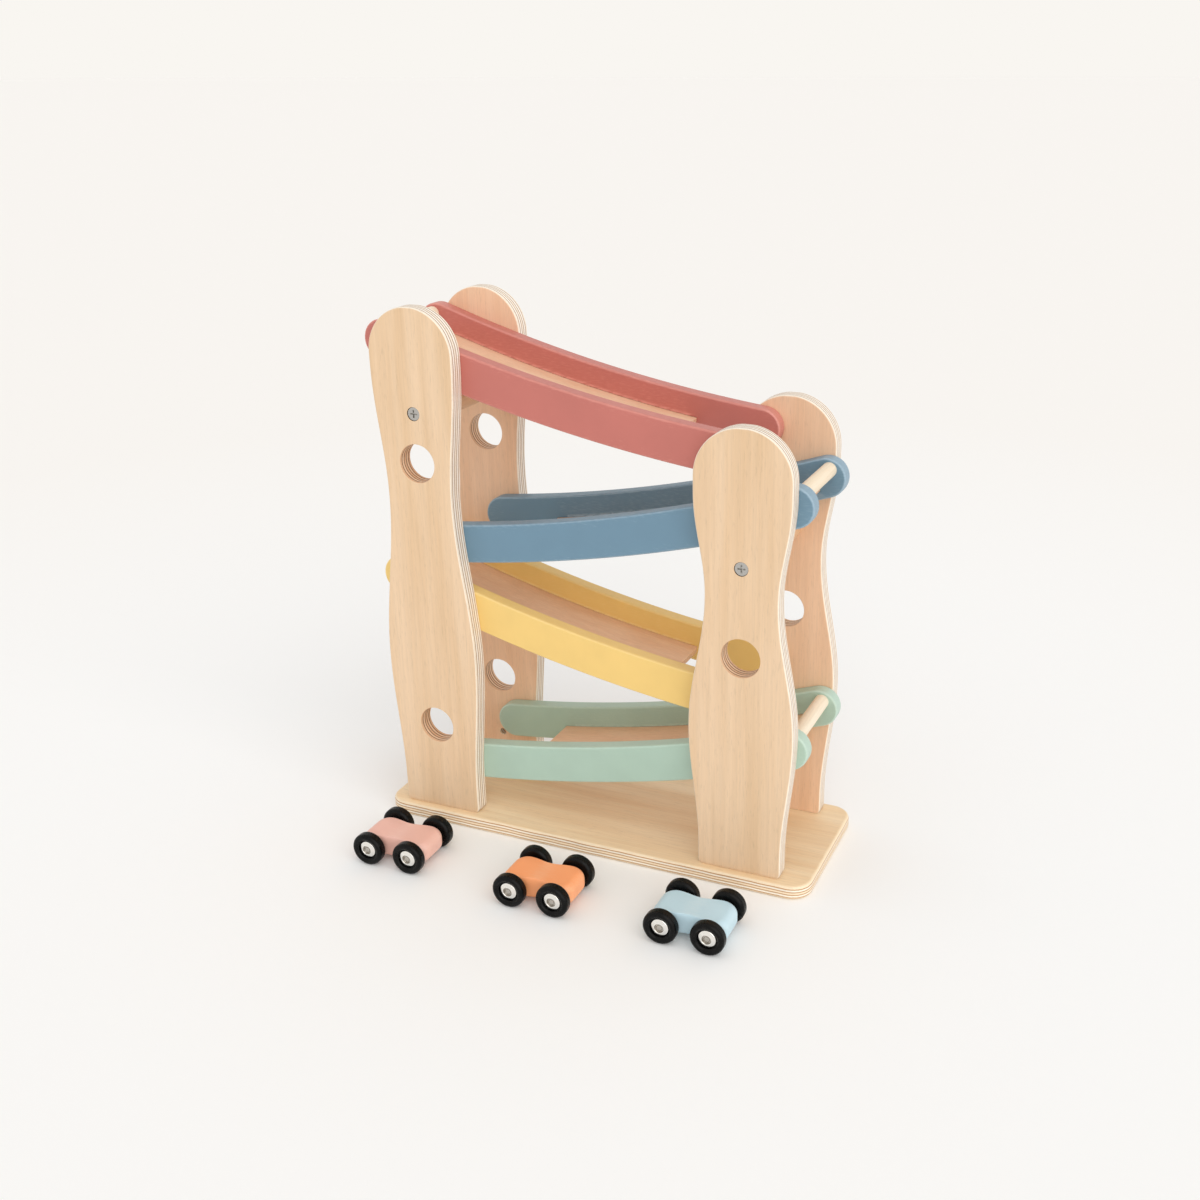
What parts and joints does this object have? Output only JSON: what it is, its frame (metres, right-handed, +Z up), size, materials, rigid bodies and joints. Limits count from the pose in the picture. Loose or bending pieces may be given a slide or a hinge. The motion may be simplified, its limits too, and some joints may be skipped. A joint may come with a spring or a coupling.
{
  "type": "click clack track toy",
  "caption": "Wooden tower toy whose sagging painted ramps zigzag down between waisted plywood uprights, with drop slots, stop dowels and little cars on free-turning wheels.",
  "frame": {"origin": "middle of the base board's underside, on the floor that the toy stands on", "axes": "+Z up, X along the ramps with the tall pair of uprights at -X, -Y the front, where the cars stand"},
  "size_m": [0.264, 0.1553, 0.3045],
  "materials": {
    "birch_plywood": "clear satin lacquer over vertical grain, thin brown ply lines on the edges",
    "beech_floor": "oiled satin",
    "dowel_beech": "sanded bare wood",
    "red_paint": "satin paint on wood",
    "blue_paint": "satin paint on wood",
    "yellow_paint": "satin paint on wood",
    "green_paint": "satin paint on wood",
    "pink_paint": "satin paint on wood",
    "orange_paint": "satin paint on wood",
    "light_blue_paint": "satin paint on wood",
    "black_rubber": "moulded, semi-matt",
    "polished_steel": "polished",
    "zinc_steel": "zinc plated"
  },
  "bodies": {
    "tower": {"base_board": "birch_plywood", "front_left_upright": "birch_plywood", "back_left_upright": "birch_plywood", "front_right_upright": "birch_plywood", "back_right_upright": "birch_plywood", "red_front_rail": "red_paint", "red_back_rail": "red_paint", "red_floor": "beech_floor", "red_stop_dowel": "dowel_beech", "blue_front_rail": "blue_paint", "blue_back_rail": "blue_paint", "blue_floor": "beech_floor", "blue_stop_dowel": "dowel_beech", "yellow_front_rail": "yellow_paint", "yellow_back_rail": "yellow_paint", "yellow_floor": "beech_floor", "yellow_stop_dowel": "dowel_beech", "green_front_rail": "green_paint", "green_back_rail": "green_paint", "green_floor": "beech_floor", "green_stop_dowel": "dowel_beech", "left_tie": "dowel_beech", "right_tie": "dowel_beech", "tie_screws": "zinc_steel", "base_screws": "zinc_steel", "rail_pins": "dowel_beech"},
    "pink_car": {"pink_car_body": "pink_paint", "pink_car_axles": "zinc_steel", "pink_car_caps": "polished_steel"},
    "pink_front_left_wheel": {"pink_front_left_wheel": "black_rubber"},
    "pink_front_right_wheel": {"pink_front_right_wheel": "black_rubber"},
    "pink_back_left_wheel": {"pink_back_left_wheel": "black_rubber"},
    "pink_back_right_wheel": {"pink_back_right_wheel": "black_rubber"},
    "orange_car": {"orange_car_body": "orange_paint", "orange_car_axles": "zinc_steel", "orange_car_caps": "polished_steel"},
    "orange_front_left_wheel": {"orange_front_left_wheel": "black_rubber"},
    "orange_front_right_wheel": {"orange_front_right_wheel": "black_rubber"},
    "orange_back_left_wheel": {"orange_back_left_wheel": "black_rubber"},
    "orange_back_right_wheel": {"orange_back_right_wheel": "black_rubber"},
    "blue_car": {"blue_car_body": "light_blue_paint", "blue_car_axles": "zinc_steel", "blue_car_caps": "polished_steel"},
    "blue_front_left_wheel": {"blue_front_left_wheel": "black_rubber"},
    "blue_front_right_wheel": {"blue_front_right_wheel": "black_rubber"},
    "blue_back_left_wheel": {"blue_back_left_wheel": "black_rubber"},
    "blue_back_right_wheel": {"blue_back_right_wheel": "black_rubber"}
  },
  "joints": [
    {"name": "pink_car_roll", "type": "slide", "parent": "tower", "child": "pink_car", "axis": [1, 0, 0], "range_m": [-0.018, 0.018]},
    {"name": "pink_front_left_spin", "type": "hinge", "parent": "pink_car", "child": "pink_front_left_wheel", "pos_m": [-0.1084, -0.099, 0.0094], "axis": [0, 1, 0], "continuous": true},
    {"name": "pink_front_right_spin", "type": "hinge", "parent": "pink_car", "child": "pink_front_right_wheel", "pos_m": [-0.0824, -0.099, 0.0094], "axis": [0, 1, 0], "continuous": true},
    {"name": "pink_back_left_spin", "type": "hinge", "parent": "pink_car", "child": "pink_back_left_wheel", "pos_m": [-0.1084, -0.0692, 0.0094], "axis": [0, 1, 0], "continuous": true},
    {"name": "pink_back_right_spin", "type": "hinge", "parent": "pink_car", "child": "pink_back_right_wheel", "pos_m": [-0.0824, -0.0692, 0.0094], "axis": [0, 1, 0], "continuous": true},
    {"name": "orange_car_roll", "type": "slide", "parent": "tower", "child": "orange_car", "axis": [1, 0, 0], "range_m": [-0.018, 0.018]},
    {"name": "orange_front_left_spin", "type": "hinge", "parent": "orange_car", "child": "orange_front_left_wheel", "pos_m": [-0.0148, -0.1057, 0.0094], "axis": [0, 1, 0], "continuous": true},
    {"name": "orange_front_right_spin", "type": "hinge", "parent": "orange_car", "child": "orange_front_right_wheel", "pos_m": [0.0112, -0.1057, 0.0094], "axis": [0, 1, 0], "continuous": true},
    {"name": "orange_back_left_spin", "type": "hinge", "parent": "orange_car", "child": "orange_back_left_wheel", "pos_m": [-0.0148, -0.0759, 0.0094], "axis": [0, 1, 0], "continuous": true},
    {"name": "orange_back_right_spin", "type": "hinge", "parent": "orange_car", "child": "orange_back_right_wheel", "pos_m": [0.0112, -0.0759, 0.0094], "axis": [0, 1, 0], "continuous": true},
    {"name": "blue_car_roll", "type": "slide", "parent": "tower", "child": "blue_car", "axis": [1, 0, 0], "range_m": [-0.018, 0.018]},
    {"name": "blue_front_left_spin", "type": "hinge", "parent": "blue_car", "child": "blue_front_left_wheel", "pos_m": [0.0729, -0.1054, 0.0094], "axis": [0, 1, 0], "continuous": true},
    {"name": "blue_front_right_spin", "type": "hinge", "parent": "blue_car", "child": "blue_front_right_wheel", "pos_m": [0.0989, -0.1054, 0.0094], "axis": [0, 1, 0], "continuous": true},
    {"name": "blue_back_left_spin", "type": "hinge", "parent": "blue_car", "child": "blue_back_left_wheel", "pos_m": [0.0729, -0.0756, 0.0094], "axis": [0, 1, 0], "continuous": true},
    {"name": "blue_back_right_spin", "type": "hinge", "parent": "blue_car", "child": "blue_back_right_wheel", "pos_m": [0.0989, -0.0756, 0.0094], "axis": [0, 1, 0], "continuous": true}
  ],
  "couplings": [
    {"joint": "pink_front_left_spin", "follows": "pink_car_roll", "rad_per_m": 106.38},
    {"joint": "pink_front_right_spin", "follows": "pink_car_roll", "rad_per_m": 106.38},
    {"joint": "pink_back_left_spin", "follows": "pink_car_roll", "rad_per_m": 106.38},
    {"joint": "pink_back_right_spin", "follows": "pink_car_roll", "rad_per_m": 106.38},
    {"joint": "orange_front_left_spin", "follows": "orange_car_roll", "rad_per_m": 106.38},
    {"joint": "orange_front_right_spin", "follows": "orange_car_roll", "rad_per_m": 106.38},
    {"joint": "orange_back_left_spin", "follows": "orange_car_roll", "rad_per_m": 106.38},
    {"joint": "orange_back_right_spin", "follows": "orange_car_roll", "rad_per_m": 106.38},
    {"joint": "blue_front_left_spin", "follows": "blue_car_roll", "rad_per_m": 106.38},
    {"joint": "blue_front_right_spin", "follows": "blue_car_roll", "rad_per_m": 106.38},
    {"joint": "blue_back_left_spin", "follows": "blue_car_roll", "rad_per_m": 106.38},
    {"joint": "blue_back_right_spin", "follows": "blue_car_roll", "rad_per_m": 106.38}
  ]
}
